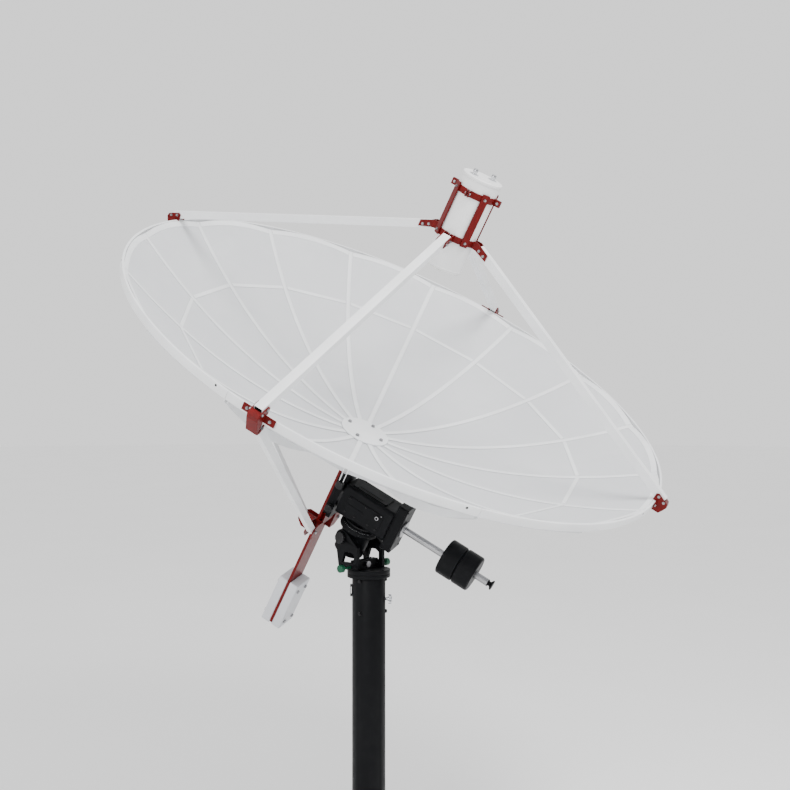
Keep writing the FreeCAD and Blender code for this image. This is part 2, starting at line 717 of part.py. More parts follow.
def clevis(back, bolt_reach):
    """A channel bolted to the spine, with two ears that flare out to hold a brace."""
    reach = float(bolt_reach) + mm("clevis_past_bolt")
    bolt_rise = float(brace_rise(bolt_reach))
    wall = mm("plate")
    top, low = bolt_rise + mm("clevis_above"), bolt_rise - mm("clevis_below")
    width = mm("brace_size") + 2 + 2 * wall
    outline = [(back, low), (back, top), (reach - 25, top), (reach, top - 18), (reach, low + 25),
               (reach - 25, low)]
    slot = block(back + wall, reach + 1, -width / 2 + wall, width / 2 - wall, low - 1, top + 1)
    return prism(outline, width).cut(slot)


# ---------------------------------------------------------------- reflector

def rise_at(radius, focal):
    return radius * radius / (4 * focal)


def parabola_edge(focal, lift, start, end):
    curve = Part.Parabola()
    curve.Axis = Y
    curve.XAxis = Z
    curve.Focal = focal
    curve.Location = Vector(0, 0, lift)
    return Part.ArcOfParabola(curve, start, end).toShape()


def parabola_strip(start, end, upper, lower, depth):
    """A strip between two parabolas (focal length, lift), half its depth each way along Y."""
    top = parabola_edge(*upper, start, end)
    bottom = parabola_edge(*lower, start, end)
    sides = [Part.makeLine(Vector(x, 0, rise_at(x, upper[0]) + upper[1]),
                           Vector(x, 0, rise_at(x, lower[0]) + lower[1])) for x in (start, end)]
    face = Part.Face(Part.Wire(Part.__sortEdges__([top, sides[0], bottom, sides[1]])))
    strip = face.extrude(Vector(0, depth, 0))
    strip.translate(Vector(0, -depth / 2, 0))
    return strip


def rib_angles():
    step = 360 / mm("petal_count")
    return [mm("rib_turn") + step * k for k in range(int(mm("petal_count")))]


def petal_angles():
    return [angle + 180 / mm("petal_count") for angle in rib_angles()]


def bent_panel(start, end, upper, lower, gap):
    """A wedge between two ribs, bent along its length only; upper and lower are its faces' lifts."""
    half = math.pi / mm("petal_count")
    focal = mm("focal_length") * math.cos(half) ** 2
    sheet_solid = parabola_strip(start * math.cos(half), end, (focal, upper), (focal, lower), 600)
    edge_gap = gap / math.cos(half)
    edge = [(x, x * math.tan(half) - edge_gap) for x in (start * math.cos(half) - 5, end + 50)]
    corners = [Vector(x, sign * y, -50) for sign, pair in ((1, edge), (-1, edge[::-1]))
               for x, y in pair]
    wedge = Part.Face(Part.makePolygon(corners + corners[:1])).extrude(Vector(0, 0, 600))
    return sheet_solid.common(wedge)


def within(shape, inner, outer):
    """The part of a shape that lies between two distances from the dish's axis."""
    low, height = -200, 800
    base = Vector(0, 0, low)
    return shape.common(Part.makeCylinder(outer, height, base)).cut(
        Part.makeCylinder(inner, height, base))


def rib():
    """A channel beam under the seam of two petals, open at the back and deeper at the hub."""
    focal = mm("focal_length")
    start, end = mm("petal_start") - 1, mm("petal_end")
    top = -mm("sheet_thickness") - 0.3
    drop = mm("rib_inner_depth") - mm("rib_outer_depth")
    back_focal = 1 / (1 / focal + 4 * drop / end ** 2)
    back = top - mm("rib_inner_depth")
    beam = parabola_strip(start, end, (focal, top), (back_focal, back), mm("rib_width"))
    wall = mm("rib_wall")
    hollow = parabola_strip(start - 5, end + 5, (focal, top - wall), (back_focal, back - 20),
                            mm("rib_width") - 2 * wall)
    return beam.cut(hollow)


def rib_cap():
    """The strip that covers a seam on the reflector's face, with B-spline faces."""
    focal, low = mm("focal_length"), mm("cap_lift")
    start, end = mm("hub_radius") + 2, mm("petal_end")
    strip = parabola_strip(start - 10, end + 10, (focal, low + mm("cap_thickness")), (focal, low),
                           mm("cap_width"))
    return within(strip.toNurbs(), start, end)


def edge_band():
    """The strip on a petal's outer edge, following the round rim between two rib caps."""
    reach = mm("petal_end")
    panel = bent_panel(reach - 60, reach + 5, 0.4 + mm("cap_thickness"), 0.4,
                       mm("cap_width") / 2 + 1)
    return within(panel, reach - mm("edge_band"), reach - 0.5)


def chord_bar(reach):
    """A straight bar across a petal, lying on its face at this distance along the rib."""
    half = math.pi / mm("petal_count")
    focal = mm("focal_length") * math.cos(half) ** 2
    middle = reach * math.cos(half)
    slope = math.degrees(math.atan2(middle, 2 * focal))
    length = 2 * (middle * math.tan(half) - mm("cap_width") / 2 / math.cos(half) - 3)
    width = mm("bar_width")
    bar = block(-width / 2, width / 2, -length / 2, length / 2, 0.4, 0.4 + mm("cap_thickness"))
    return placed(bar, shift(middle, 0, rise_at(middle, focal)).multiply(turn(Y, -slope)))


def make_reflector():
    split, end = mm("petal_split"), mm("petal_end")
    thickness, gap = mm("sheet_thickness"), mm("seam_gap")
    straight = split * math.cos(math.pi / mm("petal_count"))
    inner_petal = bent_panel(mm("petal_start"), straight - 1, 0, -thickness, gap)
    outer_petal = bent_panel(split + 1, end + 5, 0, -thickness, gap)
    shape_part("inner_petals", around(inner_petal, petal_angles()), DISH)
    shape_part("outer_petals", around(within(outer_petal, split / 2, end), petal_angles()), DISH)
    shape_part("ribs", around(rib(), rib_angles()), DISH)
    shape_part("rib_caps", around(rib_cap(), rib_angles()), DISH)
    bars = [placed(bar, turn(Z, angle)) for bar in (chord_bar(split), edge_band())
            for angle in petal_angles()]
    shape_part("ring_bars", Part.makeCompound(bars), DISH)

    rim = new_body("rim_segments")
    outer, inner = D["dish_radius"], D["dish_radius"] - D["rim_lip"]
    top, low = D["rim_top"], D["rim_top"] - D["rim_height"]
    wall = D["rim_wall"]
    seam = math.degrees(1.0 / mm("dish_radius"))
    arc = add_turning(rim, [(inner, low), (outer, low), (outer, top), (inner, top),
                            (inner, top - wall), (outer - wall, top - wall),
                            (outer - wall, low + wall), (inner, low + wall)],
                      360 / mm("rim_count") - seam)
    add_pattern(rim, [arc], D["rim_count"])
    keep(rim, "rim_segments", spoke(mm("rib_turn") - 360 / mm("petal_count")))

    hub = new_body("hub_plate")
    circle = mm("hub_bolt_circle")
    holes = [(circle * math.cos(math.radians(angle)),
              circle * math.sin(math.radians(angle)), 6) for angle in QUARTERS]
    lift = mm("hub_lift")
    face = add_sketch(hub, "XY_Plane", circles=[(0, 0, D["hub_radius"])] + holes, lift=lift)
    add_pad(hub, face, D["hub_thickness"])
    keep(hub, "hub_plate", DISH)
    shell = D["petal_start"] - 12
    back = -D["drum_depth"]
    turned("hub_drum", [
        (30, back - 8), (D["hub_flange_radius"], back - 8), (D["hub_flange_radius"], back),
        (shell, back), (shell, lift), (shell - 12, lift), (shell - 12, back), (30, back)], DISH)


# ---------------------------------------------------------------- struts, braces and rim brackets

def tube_between(label, azimuth, near, far, side_length, overrun):
    """A square tube from one (reach, rise) point of a spoke to another, and past both ends."""
    (near_x, near_z), (far_x, far_z) = near, far
    run_x, run_z = far_x - near_x, far_z - near_z
    run = math.hypot(float(run_x), float(run_z))
    heading = Vector(float(run_x) / run, 0, float(run_z) / run)
    tube = new_body(label)
    half = side_length / 2
    hollow = half - D["tube_wall"]
    section = add_sketch(tube, "XY_Plane", [box_outline(-half, half, -half, half),
                                            box_outline(-hollow, hollow, -hollow, hollow)])
    length = Size(run, f"sqrt({run_x.text} * {run_x.text} + {run_z.text} * {run_z.text})")
    add_pad(tube, section, length + 2 * overrun)
    start = Vector(float(near_x), 0, float(near_z)) - heading * overrun
    return keep(tube, label, spoke(azimuth).multiply(frame(start, Y, heading)))


STRUTS = {"near": 0, "right": 90, "far": 180, "side": 270}


def make_struts_and_braces():
    strut_outer = (D["strut_outer_reach"], D["strut_outer_rise"])
    strut_inner = (D["strut_inner_reach"], D["strut_inner_rise"])
    brace_outer = (D["brace_outer_reach"], D["brace_outer_rise"])
    for name, azimuth in STRUTS.items():
        tube_between(f"feed_strut_{name}", azimuth, strut_outer, strut_inner, D["strut_size"], 14)
    for name, (azimuth, _, reach) in BRACES.items():
        tube_between(f"rear_brace_{name}", azimuth, brace_outer, (reach, brace_rise(reach)),
                     D["brace_size"], 8)


def rim_bracket(leg_low):
    """A folded channel on the rim's wall: two side plates, a web outside and two flanges."""
    outside = mm("dish_radius") + 0.4
    above, below = mm("rim_top") + 0.5, mm("rim_top") - mm("rim_height") - 0.5
    gap, wall = mm("strut_size") + 2.4, 4
    web_top = (1190, 384)
    web_slope = 0.5926
    web_low = web_top[0] - (web_top[1] - leg_low) * web_slope
    foot = [(web_low, leg_low), (1138, leg_low), (1124, leg_low + 16), (1124, below)]
    if leg_low > 350:
        foot = [(web_low, leg_low)]
    outline = [(outside, above), (1136, above), (1138, 428), (1148, 433), (1192, 411),
               (1196, 398), web_top] + foot + [(outside, min(below, leg_low + 1))]
    channel = prism(outline, gap + 2 * wall)
    inside_top, inside_low = [(x - wall, z) for x, z in (web_top, (web_low, leg_low))]
    hollow = prism([(1100, 300), (inside_low[0] - 1, 300), inside_low, inside_top, (1180, 393),
                    (1180, 500), (1100, 500)], gap)
    reach = outside + wall
    flanges = [block(outside, reach, low, low + 42, 379, 405) for low in (-62, 20)]
    return channel.cut(hollow).fuse(flanges).removeSplitter()


def make_brackets():
    braced = [azimuth for azimuth, _, _ in BRACES.values()]
    brackets = [placed(rim_bracket(330 if azimuth in braced else 364), turn(Z, azimuth))
                for azimuth in QUARTERS]
    shape_part("rim_brackets", Part.makeCompound(brackets), DISH)


# ---------------------------------------------------------------- feed and cage

def make_feed():
    """The feed can with its window, cap and two connectors; it slides in the cage to focus."""
    radius, wall = D["feed_radius"], D["feed_wall"]
    bottom, top = D["feed_bottom"] + 6, D["feed_top"] - D["cap_height"]
    turned("feed_can", ring_outline(radius - wall, radius, bottom, top), DISH)
    turned("feed_window", [(0, bottom - 6), (radius - 2, bottom - 6), (radius, bottom - 4),
                           (radius, bottom), (0, bottom)], DISH)
    turned("feed_cap", [(0, top), (radius + 1.5, top), (radius + 1.5, D["feed_top"] - 2),
                        (radius - 0.5, D["feed_top"]), (0, D["feed_top"])], DISH)
    connector = Part.makeBox(25, 25, 3, Vector(-12.5, -12.5, 0))
    connector = connector.fuse(Part.makeCylinder(8, 22)).fuse(Part.makeCylinder(10, 7, Vector(0, 0, 9)))
    spots = [shift(mm("connector_offset") * side, 0, mm("feed_top")) for side in (-1, 1)]
    shape_part("feed_connectors", Part.makeCompound([placed(connector, spot) for spot in spots]),
               spoke(mm("connector_side")))


def strap_ring(ear_reach):
    """Four quarter straps round the feed can, each with an ear at both ends."""
    inner = mm("feed_radius") + mm("ring_gap")
    outer = inner + mm("ring_wall")
    height = mm("ring_height")
    sector = Part.makeCylinder(outer, height, Vector(0, 0, -height / 2), Z, 86)
    sector = sector.cut(Part.makeCylinder(inner, height, Vector(0, 0, -height / 2)))
    sector = placed(sector, turn(Z, 2))
    reach = outer + ear_reach
    low_ear = block(outer - 2, reach, 2.9, 6.9, -height / 2, height / 2)
    high_ear = block(2.9, 6.9, outer - 2, reach, -height / 2, height / 2)
    return sector.fuse([low_ear, high_ear]).removeSplitter()


def strut_ear():
    """Two plates that run from the lower ring along a strut."""
    slope = strut_slope()
    gap, wall, ring = mm("strut_size") + 2, 4, mm("feed_radius") + mm("ring_gap") + mm("ring_wall")
    low = mm("lower_ring") - mm("ring_height") / 2
    end, run = 152, 52
    outline = [(76, low), (76, low + 28), (100, low + 28), (end, low + 28 - run * slope),
               (end, low + 2 - run * slope), (100, low - 2)]
    plates = prism(outline, gap + 2 * wall).cut(block(0, 300, -gap / 2, gap / 2, 0, 2000))
    return plates.cut(Part.makeCylinder(ring + 0.2, 2000))


def strut_slope():
    fall = mm("strut_inner_rise") - mm("strut_outer_rise")
    return fall / (mm("strut_outer_reach") - mm("strut_inner_reach"))


def make_cage():
    for name, ear in (("lower", 10), ("upper", 24)):
        ring = placed(strap_ring(ear), shift(0, 0, mm(f"{name}_ring")))
        shape_part(f"{name}_feed_ring", around(ring, QUARTERS), DISH)
    shape_part("strut_ears", around(strut_ear(), QUARTERS), DISH)

    bars = new_body("cage_bars")
    inner = D["feed_radius"] + D["ring_gap"] + D["ring_wall"] + 0.3
    half = D["cage_bar_width"] / 2
    section = add_sketch(bars, "XY_Plane", [box_outline(inner, inner + D["plate"], -half, half)],
                         lift=mm("lower_ring") - 16)
    bar = add_pad(bars, section, D["cage_bar_length"])
    add_pattern(bars, [bar], 4)
    keep(bars, "cage_bars", spoke(45))


def make_dish_bolts():
    """Hexagon heads on the hub, rim brackets, cage, clevises and tail weights."""
    tiny = hex_head(8, 4, 5.5, 1)
    small = hex_head(13, 5.5, 8.5)
    braced = [azimuth for azimuth, _, _ in BRACES.values()]
    bolts = []
    for azimuth in QUARTERS:
        here = turn(Z, azimuth)
        bolts.append(placed(small, here.multiply(
            shift(mm("hub_bolt_circle"), 0, mm("hub_lift") + mm("hub_thickness")))))
        flange_face = mm("dish_radius") + 4.4
        strut_points = [(1152, 421), (1178, 409)]
        if azimuth in braced:
            strut_points.append((mm("brace_outer_reach"), mm("brace_outer_rise")))
        ear_points = [(114, 911), (137, 900)]
        for side in (-1, 1):
            flange_spot = here.multiply(shift(flange_face, 44 * side, 392))
            bolts.append(placed(tiny, flange_spot.multiply(Z_ALONG_X)))
            facing = Z_UP_Y if side > 0 else Z_DOWN_Y
            plate_face = side * (mm("strut_size") / 2 + 5.2)
            ear_face = side * (mm("strut_size") / 2 + 5)
            for reach, rise in strut_points:
                spot = here.multiply(shift(reach, plate_face, rise))
                bolts.append(placed(tiny, spot.multiply(facing)))
            for reach, rise in ear_points:
                spot = here.multiply(shift(reach, ear_face, rise))
                bolts.append(placed(tiny, spot.multiply(facing)))
            ring_ear = here.multiply(shift(95, 6.9 * side, mm("upper_ring"))).multiply(facing)
            bolts.append(placed(tiny, ring_ear))
        for ring in ("lower_ring", "upper_ring"):
            bar_face = mm("feed_radius") + mm("ring_gap") + mm("ring_wall") + 0.3 + mm("plate")
            spot = turn(Z, azimuth + 45).multiply(shift(bar_face, 0, mm(ring)))
            bolts.append(placed(tiny, spot.multiply(Z_ALONG_X)))
    for azimuth, _, reach in BRACES.values():
        for side, facing in ((1, Z_UP_Y), (-1, Z_DOWN_Y)):
            ear = side * (mm("brace_size") / 2 + 1 + mm("plate"))
            spot = turn(Z, azimuth).multiply(shift(reach, ear, brace_rise(reach)))
            bolts.append(placed(small, spot.multiply(facing)))
    for x in (-35, 35):
        for z in (-mm("spine_end") + 35, -mm("spine_end") + mm("tail_length") - 35):
            for side, facing in ((1, Z_UP_Y), (-1, Z_DOWN_Y)):
                face = side * (mm("spine_thickness") / 2 + mm("tail_thickness")) - mm("spine_shift")
                bolts.append(placed(small, shift(x, face, z).multiply(facing)))
    shape_part("dish_bolts", Part.makeCompound(bolts), DISH)


# ---------------------------------------------------------------- build, check and write

def check(thing):
    for state in ("Invalid", "Error"):
        if state in thing.State:
            raise RuntimeError(f"{thing.Label}: {thing.State}")


def main():
    make_pier()
    make_azimuth_base()
    make_polar_unit()
    make_declination_unit()
    make_saddle()
    make_spine()
    make_reflector()
    make_struts_and_braces()
    make_brackets()
    make_feed()
    make_cage()
    make_dish_bolts()
    doc.recompute()
    for thing in doc.Objects:
        check(thing)
    os.makedirs("parts", exist_ok=True)
    for thing in NODES:
        if thing.Shape.isNull() or not thing.Shape.isValid():
            raise RuntimeError(f"{thing.Label}: bad shape")
        thing.Shape.exportStep(f"parts/{thing.Label}.step")
        box = thing.Shape.BoundBox
        print(f"{thing.Label:26s} solids {len(thing.Shape.Solids):3d}  volume "
              f"{thing.Shape.Volume / 1000:10.1f} cm3  z {box.ZMin:8.1f} {box.ZMax:8.1f}")
    print(len(NODES), "sub-parts")


main()
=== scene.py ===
import json
import math

import bmesh
import bpy
from mathutils import Matrix, Vector


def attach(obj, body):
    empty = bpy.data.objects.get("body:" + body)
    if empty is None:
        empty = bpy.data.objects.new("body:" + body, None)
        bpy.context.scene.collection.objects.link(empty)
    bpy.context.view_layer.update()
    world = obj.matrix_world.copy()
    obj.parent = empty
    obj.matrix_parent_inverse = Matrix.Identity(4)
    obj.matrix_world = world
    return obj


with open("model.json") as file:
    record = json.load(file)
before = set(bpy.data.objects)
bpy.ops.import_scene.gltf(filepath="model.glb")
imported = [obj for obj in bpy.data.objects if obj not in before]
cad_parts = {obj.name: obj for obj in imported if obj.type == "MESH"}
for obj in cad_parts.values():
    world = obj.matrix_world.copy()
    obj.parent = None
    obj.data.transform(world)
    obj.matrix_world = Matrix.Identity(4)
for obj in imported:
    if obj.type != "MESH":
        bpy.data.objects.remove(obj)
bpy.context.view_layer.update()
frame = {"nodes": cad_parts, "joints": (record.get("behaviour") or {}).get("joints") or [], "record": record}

nodes = frame["nodes"]
joints = {joint["name"]: joint for joint in frame["joints"]}

# ---------------------------------------------------------------- axes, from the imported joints

POLAR = Vector(joints["polar_turn"]["axis"]).normalized()
ALONG = -Vector(joints["declination_turn"]["axis"]).normalized()   # dish side to weight side
ACROSS = ALONG.cross(POLAR)
CROSSING = Vector(joints["polar_turn"]["pos_m"])
DISH_OFFSET = 0.155
DISH_AHEAD = 0.280
VERTEX = CROSSING - ALONG * DISH_OFFSET + POLAR * DISH_AHEAD

LATITUDE = 57.5             # degrees, tilt of the polar axis above the horizon
PETALS = 16
PETAL_TURN = 360 / PETALS
RIB_TURN = 16.0             # degrees, azimuth of the first rib
QUARTERS = (0, 90, 180, 270)


def placed(origin, x_axis, y_axis, z_axis):
    turn = Matrix((x_axis, y_axis, z_axis)).transposed().to_4x4()
    return Matrix.Translation(origin) @ turn


DISH = placed(VERTEX, ACROSS, ALONG, POLAR)
DEC = placed(CROSSING, ACROSS, -POLAR, ALONG)
MOUNT = Matrix.Translation(CROSSING)


def turned(axis, degrees):
    return Matrix.Rotation(math.radians(degrees), 4, axis)


# ---------------------------------------------------------------- materials

class Nodes:
    """A material's node tree, with short calls for the nodes that these finishes share."""

    def __init__(self, name):
        self.material = bpy.data.materials.new(name)
        self.material.use_nodes = True
        self.tree = self.material.node_tree
        self.shader = self.tree.nodes["Principled BSDF"]
        coordinates = self.tree.nodes.new("ShaderNodeTexCoord")
        self.place = coordinates.outputs["Object"]

    def node(self, kind, **settings):
        made = self.tree.nodes.new(kind)
        for key, value in settings.items():
            setattr(made, key, value)
        return made

    def link(self, source, target):
        self.tree.links.new(source, target)

    def noise(self, scale, detail=3.0, stretch=None):
        made = self.node("ShaderNodeTexNoise")
        made.inputs["Scale"].default_value = scale
        made.inputs["Detail"].default_value = detail
        where = self.place if stretch is None else self.mapped(scale=stretch)
        self.link(where, made.inputs["Vector"])
        return made.outputs["Fac"]

    def mapped(self, scale=(1, 1, 1), rotation=(0, 0, 0)):
        mapping = self.node("ShaderNodeMapping")
        mapping.inputs["Scale"].default_value = scale
        mapping.inputs["Rotation"].default_value = rotation
        self.link(self.place, mapping.inputs["Vector"])
        return mapping.outputs["Vector"]

    def ramp(self, source, low, high, low_value=0.0, high_value=1.0):
        made = self.node("ShaderNodeMapRange")
        made.inputs["From Min"].default_value = low
        made.inputs["From Max"].default_value = high
        made.inputs["To Min"].default_value = low_value
        made.inputs["To Max"].default_value = high_value
        self.link(source, made.inputs["Value"])
        return made.outputs["Result"]

    def math(self, operation, first, second=None):
        made = self.node("ShaderNodeMath", operation=operation)
        for socket, value in zip(made.inputs, (first, second)):
            if value is None:
                continue
            if isinstance(value, (int, float)):
                socket.default_value = value
            else:
                self.link(value, socket)
        return made.outputs[0]

    def mix(self, amount, first, second):
        made = self.node("ShaderNodeMix", data_type="RGBA")
        self.link(amount, made.inputs["Factor"])
        for socket, value in ((made.inputs[6], first), (made.inputs[7], second)):
            if isinstance(value, (tuple, list)):
                socket.default_value = (*value, 1.0)
            else:
                self.link(value, socket)
        return made.outputs[2]

    def bump(self, height, strength, distance):
        made = self.node("ShaderNodeBump")
        made.inputs["Strength"].default_value = strength
        made.inputs["Distance"].default_value = distance
        self.link(height, made.inputs["Height"])
        self.link(made.outputs["Normal"], self.shader.inputs["Normal"])

    def set(self, **values):
        for key, value in values.items():
            self.shader.inputs[key.replace("_", " ")].default_value = value


def shaded(colour, factor):
    return tuple(channel * factor for channel in colour)


def powder_coat(name, colour, roughness, grain=900.0, dust=(0.55, 0.54, 0.52), dust_amount=0.05,
                specular=0.5):
    """Sprayed and baked paint: a fine orange peel, faint dust and slightly uneven gloss."""
    coat = Nodes(name)
    cloud = coat.ramp(coat.noise(5.0, 5.0), 0.35, 0.70)
    mottle = coat.mix(cloud, shaded(colour, 0.95), shaded(colour, 1.05))
    settled = coat.ramp(coat.noise(22.0, 6.0), 0.45, 0.80, 0.0, dust_amount)
    coat.link(coat.mix(settled, mottle, dust), coat.shader.inputs["Base Color"])
    gloss = coat.ramp(coat.noise(40.0, 4.0), 0.3, 0.7, roughness - 0.05, roughness + 0.07)
    coat.link(gloss, coat.shader.inputs["Roughness"])
    coat.bump(coat.noise(grain, 2.0), 0.20, 0.0003)
    coat.set(IOR=1.5, Specular_IOR_Level=specular)
    return coat.material


def anodised(name, colour, shade, roughness):
    """Dyed, brushed aluminium plate: fine streaks and a dye that pales a little where it is rubbed."""
    plate = Nodes(name)
    streaks = plate.noise(260.0, 3.0, stretch=(1.0, 0.08, 0.25))
    tone = plate.mix(plate.ramp(streaks, 0.3, 0.7), shade, colour)
    rubbed = plate.ramp(plate.noise(14.0, 5.0), 0.55, 0.80, 0.0, 0.30)
    plate.link(plate.mix(rubbed, tone, shaded(colour, 1.45)), plate.shader.inputs["Base Color"])
    gloss = plate.ramp(streaks, 0.3, 0.7, roughness - 0.06, roughness + 0.08)
    plate.link(gloss, plate.shader.inputs["Roughness"])
    plate.bump(streaks, 0.12, 0.0002)
    plate.set(Metallic=0.15, Specular_IOR_Level=0.18)
    return plate.material


def machined(name, colour, roughness, rings=1400.0):
    """Turned or ground metal: fine tool lines, small scratches and a little staining."""
    metal = Nodes(name)
    lines = metal.noise(rings, 2.0, stretch=(0.06, 1.0, 0.6))
    stain = metal.ramp(metal.noise(18.0, 5.0), 0.4, 0.75)
    metal.link(metal.mix(stain, colour, shaded(colour, 0.78)), metal.shader.inputs["Base Color"])
    gloss = metal.ramp(lines, 0.3, 0.7, roughness - 0.07, roughness + 0.10)
    metal.link(gloss, metal.shader.inputs["Roughness"])
    metal.bump(lines, 0.15, 0.0002)
    metal.set(Metallic=1.0)
    return metal.material


def moulded(name, colour, roughness):
    """Moulded plastic: a fine leathery grain and a soft, slightly uneven sheen."""
    plastic = Nodes(name)
    grain = plastic.noise(1600.0, 3.0)
    tone = plastic.mix(plastic.ramp(plastic.noise(30.0, 4.0), 0.3, 0.7),
                       shaded(colour, 0.82), shaded(colour, 1.18))
    plastic.link(tone, plastic.shader.inputs["Base Color"])
    gloss = plastic.ramp(grain, 0.3, 0.7, roughness - 0.05, roughness + 0.08)
    plastic.link(gloss, plastic.shader.inputs["Roughness"])
    plastic.bump(grain, 0.25, 0.0003)
    plastic.set(Specular_IOR_Level=0.3)
    return plastic.material


MESH_PITCH = 0.0026         # metres between wires of the petals' fine mesh
MESH_OPEN = 0.94            # how deep the wave must be to leave a hole


def fine_mesh(name, colour, shade):
    """White-painted fine wire mesh: square holes that let some light through, on a woven bump."""
    mesh = Nodes(name)
    in_dish = mesh.mapped(rotation=DISH.to_3x3().inverted().to_euler("XYZ"))
    split = mesh.node("ShaderNodeSeparateXYZ")
    mesh.link(in_dish, split.inputs[0])
    waves = []
    for axis in ("X", "Y"):
        phase = mesh.math("MULTIPLY", split.outputs[axis], 2 * math.pi / MESH_PITCH)
        waves.append(mesh.math("ABSOLUTE", mesh.math("SINE", phase)))
    weave = mesh.math("MULTIPLY", waves[0], waves[1])
    hole = mesh.math("GREATER_THAN", weave, MESH_OPEN)
    mesh.link(mesh.math("SUBTRACT", 1.0, hole), mesh.shader.inputs["Alpha"])
    cloud = mesh.ramp(mesh.noise(2.2, 6.0), 0.30, 0.72)
    tone = mesh.mix(cloud, shade, colour)
    streak = mesh.ramp(mesh.noise(9.0, 6.0), 0.52, 0.80, 0.0, 0.25)
    mesh.link(mesh.mix(streak, tone, shaded(shade, 0.86)), mesh.shader.inputs["Base Color"])
    mesh.bump(weave, 0.35, 0.0006)
    mesh.set(Roughness=0.55)
    return mesh.material


def make_materials():
    return {
        "black_paint": powder_coat("black_coat", (0.0040, 0.0043, 0.0052), 0.42, dust_amount=0.004,
                                   specular=0.09),
        "dark_steel": powder_coat("blackened", (0.0050, 0.0050, 0.0060), 0.30, dust_amount=0.006,
                                  specular=0.24),
        "zinc_steel": machined("zinc", (0.32, 0.32, 0.33), 0.36),
        "chrome": machined("chrome", (0.56, 0.57, 0.59), 0.12),
        "green_knob": moulded("green_plastic", (0.004, 0.070, 0.032), 0.36),
        "black_knob": moulded("black_plastic", (0.007, 0.007, 0.008), 0.40),
        "bare_steel": machined("bare_steel", (0.38, 0.38, 0.39), 0.28),
        "bronze": machined("bronze", (0.60, 0.40, 0.18), 0.32),
        "red_plate": anodised("red_anodised", (0.145, 0.0030, 0.0030), (0.088, 0.0018, 0.0018), 0.36),
        "white_mesh": fine_mesh("white_mesh", (0.72, 0.73, 0.745), (0.66, 0.67, 0.69)),
        "white_paint": powder_coat("white_coat", (0.84, 0.85, 0.86), 0.40, grain=700.0,
                                   dust=(0.50, 0.48, 0.45), dust_amount=0.06),
        "feed_white": powder_coat("feed_coat", (0.82, 0.82, 0.82), 0.34, grain=800.0),
        "window_plastic": moulded("window_plastic", (0.70, 0.70, 0.68), 0.50),
        "grey_block": powder_coat("grey_coat", (0.60, 0.61, 0.64), 0.45, grain=600.0),
    }


# ---------------------------------------------------------------- carried-over parts

SLOT_OF = {part["node"]: part["material_slot"] for part in frame["record"]["subparts"]}
SLOT_OF["pier_fittings"] = "dark_steel"     # the pier's bolts and clip look blackened


def soften(piece, width, segments=2):
    """Round the sharp edges of a part whose own mesh stays as it is."""
    weld = piece.modifiers.new("weld", "WELD")
    weld.merge_threshold = 0.00002
    bevel = piece.modifiers.new("bevel", "BEVEL")
    bevel.width = width
    bevel.segments = segments
    bevel.limit_method = "ANGLE"
    bevel.angle_limit = math.radians(35)
    bevel.use_clamp_overlap = True
    bevel.harden_normals = True


# how far each part's sharp edges are rounded, in metres
EDGES = {
    "base_plate": 0.002, "pier_column": 0.001, "pier_flange": 0.0015, "pier_fittings": 0.0005,
    "pier_hand_knob": 0.002, "azimuth_disc": 0.0015, "side_cheeks": 0.0025,
    "altitude_block": 0.0015, "altitude_screw": 0.0008, "azimuth_knob_east": 0.0008,
    "azimuth_knob_west": 0.0008, "altitude_knob_east": 0.001, "altitude_knob_west": 0.001,
    "polar_housing": 0.002, "polar_lid": 0.0012, "declination_housing": 0.004,
    "declination_axle": 0.002, "motor_box": 0.003, "rod_lock_ring": 0.0008,
    "rod_end_stop": 0.0008, "saddle_plate": 0.002, "saddle_jaws": 0.001,
    "saddle_knob_front": 0.0008, "saddle_knob_rear": 0.0008, "dovetail_bar": 0.001,
    "spine_plate": 0.001, "hub_angles": 0.0008, "tail_weights": 0.001, "spine_clevises": 0.0008,
    "rim_brackets": 0.0008, "hub_plate": 0.0012, "hub_drum": 0.001, "rib_caps": 0.0008,
    "ring_bars": 0.0008, "rim_segments": 0.0008, "feed_cap": 0.0008, "feed_window": 0.0008,
    "feed_connectors": 0.0005, "upper_feed_ring": 0.0006, "lower_feed_ring": 0.0006,
    "cage_bars": 0.0008, "strut_ears": 0.0006, "dish_bolts": 0.0005,
}
for side in ("near", "right", "far", "side"):
    EDGES[f"feed_strut_{side}"] = 0.0008
    EDGES[f"rear_brace_{side}"] = 0.0008


def dress_parts(materials):
    for name, part in nodes.items():
        part.data.materials.clear()
        part.data.materials.append(materials[SLOT_OF[name]])
        part.data.polygons.foreach_set("material_index", [0] * len(part.data.polygons))
        if name in EDGES:
            soften(part, EDGES[name])


# ---------------------------------------------------------------- small fittings

# From here on lengths are millimetres, in the frame of the part that a fitting stands on.
MM = 0.001
FOCAL_LENGTH = 846.5
PETAL_SPLIT = 868           # where the inner petals end
CAP_FACE = 4.4              # height of a seam cap's face over the reflector's curve
BAR_FACE = 3.5              # the same for a ring bar
RIM_FACE = 1149.8           # just inside the rim's outer face, so that rivets are rooted in it
RIM_SEGMENTS = 8
HUB_BACK = -66
SPINE_SHIFT = -8            # the spine's middle plane, from the dish's axis
FEED_TOP = 1163
CONNECTOR_OFFSET = 43
CONNECTOR_SIDE = 140        # degrees, azimuth of the feed's connectors
STRUT_OUTER, STRUT_INNER = (1160, 418), (119, 910)      # (reach, rise) of a strut's ends
BRACE_OUTER, BRACE_SLOPE = (1139, 351), 0.7877
BRACE_INNER_REACH = {0: 112, 180: 112, 270: 84}
PIER_RADIUS = 70
PLATE_TOP = 16
ANCHOR_CIRCLE = 180
DISC_TOP = -258             # the azimuth disc's face, from the crossing of the axes
CHEEK_FACE = 83
DRUM_RADIUS = 85
HEAD_SIDE = 70
COVER_FACE = HEAD_SIDE + 3.2
